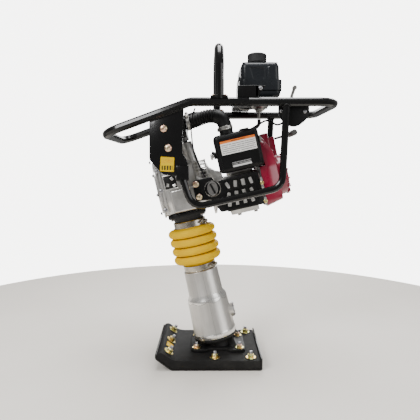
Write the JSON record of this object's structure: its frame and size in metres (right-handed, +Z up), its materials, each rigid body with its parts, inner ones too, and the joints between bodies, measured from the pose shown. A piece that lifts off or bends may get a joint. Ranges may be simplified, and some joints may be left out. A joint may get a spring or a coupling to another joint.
{
  "type": "jumping jack rammer",
  "caption": "Petrol tamping rammer: leaning leg with yellow bellows on a flat shoe, crank drive, engine, looped tube handle, guard tubes, lifting hoop and top fuel tank.",
  "frame": {"origin": "on the flat sole, in the middle of the shoe's length and width", "axes": "+Z up; the machine travels towards -X, its operator stands at +X; the centre plane is Y = 0"},
  "size_m": [0.7321, 0.357, 1.0303],
  "materials": {
    "black_paint": "gloss black powder coat on tube and plate",
    "black_cast": "semi-gloss black paint on a casting",
    "board": "matt dark board with fine grain",
    "cast_grey": "silver-grey painted casting",
    "aluminium": "bright cast aluminium",
    "steel": "plain or plated steel",
    "yellow_rubber": "satin yellow moulded bellows",
    "red": "glossy crimson cover",
    "black_plastic": "black moulded plastic with fine texture",
    "rubber": "black rubber",
    "grey_plastic": "dark grey plastic",
    "glass": "sight glass"
  },
  "bodies": {
    "upper_body": {"upper_bellows_clamp": "steel", "guide_cylinder": "black_cast", "gear_case": "aluminium", "gear_case_cover": "aluminium", "shock_mount_left_1": "rubber", "shock_mount_left_2": "rubber", "shock_mount_right_1": "rubber", "shock_mount_right_2": "rubber", "clutch_housing": "aluminium", "engine_block": "aluminium", "engine_barrel": "aluminium", "rocker_cover": "black_paint", "spark_plug_cap": "rubber", "muffler": "steel", "side_panel": "black_plastic", "fan_cover": "red", "recoil_housing": "red", "starter_rope": "rubber", "air_box": "black_plastic", "carburettor": "aluminium", "intake_hose": "rubber", "air_filter_housing": "black_plastic", "handle_loop": "black_paint", "lifting_hoop": "black_paint", "side_plate_left": "black_paint", "side_plate_right": "black_paint", "guard_tube_left": "black_paint", "guard_tube_right": "black_paint", "fuel_tank": "black_plastic", "tank_bracket": "black_paint", "fuel_tap": "steel", "fuel_hose": "rubber", "stop_wire": "rubber", "throttle_housing": "black_plastic", "throttle_cable": "rubber", "bellows": "yellow_rubber"},
    "ram": {"shoe_plate": "black_paint", "shoe_board": "board", "foot_bracket": "black_cast", "ram_cylinder": "cast_grey", "sight_glass": "glass", "spring_sleeve": "steel", "lower_spring": "steel", "upper_spring": "steel", "lower_bellows_clamp": "steel"},
    "piston": {"piston_rod": "steel"},
    "crank": {"crank_gear": "steel"},
    "con_rod": {"connecting_rod": "steel"},
    "pinion": {"pinion_shaft": "steel", "clutch_drum": "steel"},
    "engine_shaft": {"crankshaft": "steel", "clutch_rotor": "steel", "flywheel": "cast_grey"},
    "starter_handle": {"starter_grip": "grey_plastic"},
    "starter_reel": {"recoil_reel": "grey_plastic"},
    "throttle": {"throttle_lever": "steel"},
    "choke": {"choke_lever": "steel"},
    "tank_cap": {"fuel_cap": "black_plastic"},
    "tap_lever": {"fuel_tap_lever": "steel"},
    "oil_cap": {"oil_filler_cap": "grey_plastic"}
  },
  "joints": [
    {"name": "ram_stroke", "type": "slide", "parent": "upper_body", "child": "ram", "axis": [0.2215, 0, -0.9751], "range_m": [0, 0.065], "deforming": ["bellows", "upper_spring", "lower_spring"]},
    {"name": "piston_travel", "type": "slide", "parent": "upper_body", "child": "piston", "axis": [0.2215, 0, -0.9751], "range_m": [0, 0.048]},
    {"name": "crank_turn", "type": "hinge", "parent": "upper_body", "child": "crank", "pos_m": [-0.0731, 0, 0.63003], "axis": [0.9751, 0, 0.2215], "continuous": true},
    {"name": "rod_turn", "type": "hinge", "parent": "crank", "child": "con_rod", "pos_m": [-0.1067, 0, 0.64701], "axis": [0.9751, 0, 0.2215], "continuous": true},
    {"name": "pinion_turn", "type": "hinge", "parent": "upper_body", "child": "pinion", "pos_m": [-0.05704, 0, 0.55934], "axis": [0.9751, 0, 0.2215], "continuous": true},
    {"name": "engine_turn", "type": "hinge", "parent": "upper_body", "child": "engine_shaft", "pos_m": [0.10971, 0, 0.59722], "axis": [0.9751, 0, 0.2215], "continuous": true},
    {"name": "starter_pull", "type": "slide", "parent": "upper_body", "child": "starter_handle", "axis": [0.9558, 0, 0.2942], "range_m": [0, 0.4], "deforming": ["starter_rope"]},
    {"name": "reel_turn", "type": "hinge", "parent": "upper_body", "child": "starter_reel", "pos_m": [0.23356, 0, 0.62536], "axis": [0.9751, 0, 0.2215], "range_deg": [0, 500]},
    {"name": "throttle_swing", "type": "hinge", "parent": "upper_body", "child": "throttle", "pos_m": [0.251, -0.13, 0.811], "axis": [0, 1, 0], "range_deg": [-50, 0]},
    {"name": "choke_swing", "type": "hinge", "parent": "upper_body", "child": "choke", "pos_m": [0.12014, -0.066, 0.68675], "axis": [0.9751, 0, 0.2215], "range_deg": [0, 55]},
    {"name": "cap_turn", "type": "hinge", "parent": "upper_body", "child": "tank_cap", "pos_m": [0.161, 0, 1.01], "axis": [0, 0, 1], "range_deg": [0, 90]},
    {"name": "tap_turn", "type": "hinge", "parent": "upper_body", "child": "tap_lever", "pos_m": [0.168, -0.024, 0.847], "axis": [0, 1, 0], "range_deg": [0, 90]},
    {"name": "oil_cap_turn", "type": "hinge", "parent": "upper_body", "child": "oil_cap", "pos_m": [0.01238, -0.115, 0.58331], "axis": [0, -1, 0], "range_deg": [0, 180]}
  ],
  "couplings": [
    {"joint": "piston_travel", "follows": "ram_stroke", "ratio": 0.738},
    {"joint": "rod_turn", "follows": "crank_turn", "ratio": -1},
    {"joint": "pinion_turn", "follows": "crank_turn", "ratio": -3.4615},
    {"joint": "reel_turn", "follows": "starter_pull", "rad_per_m": 21.277}
  ]
}
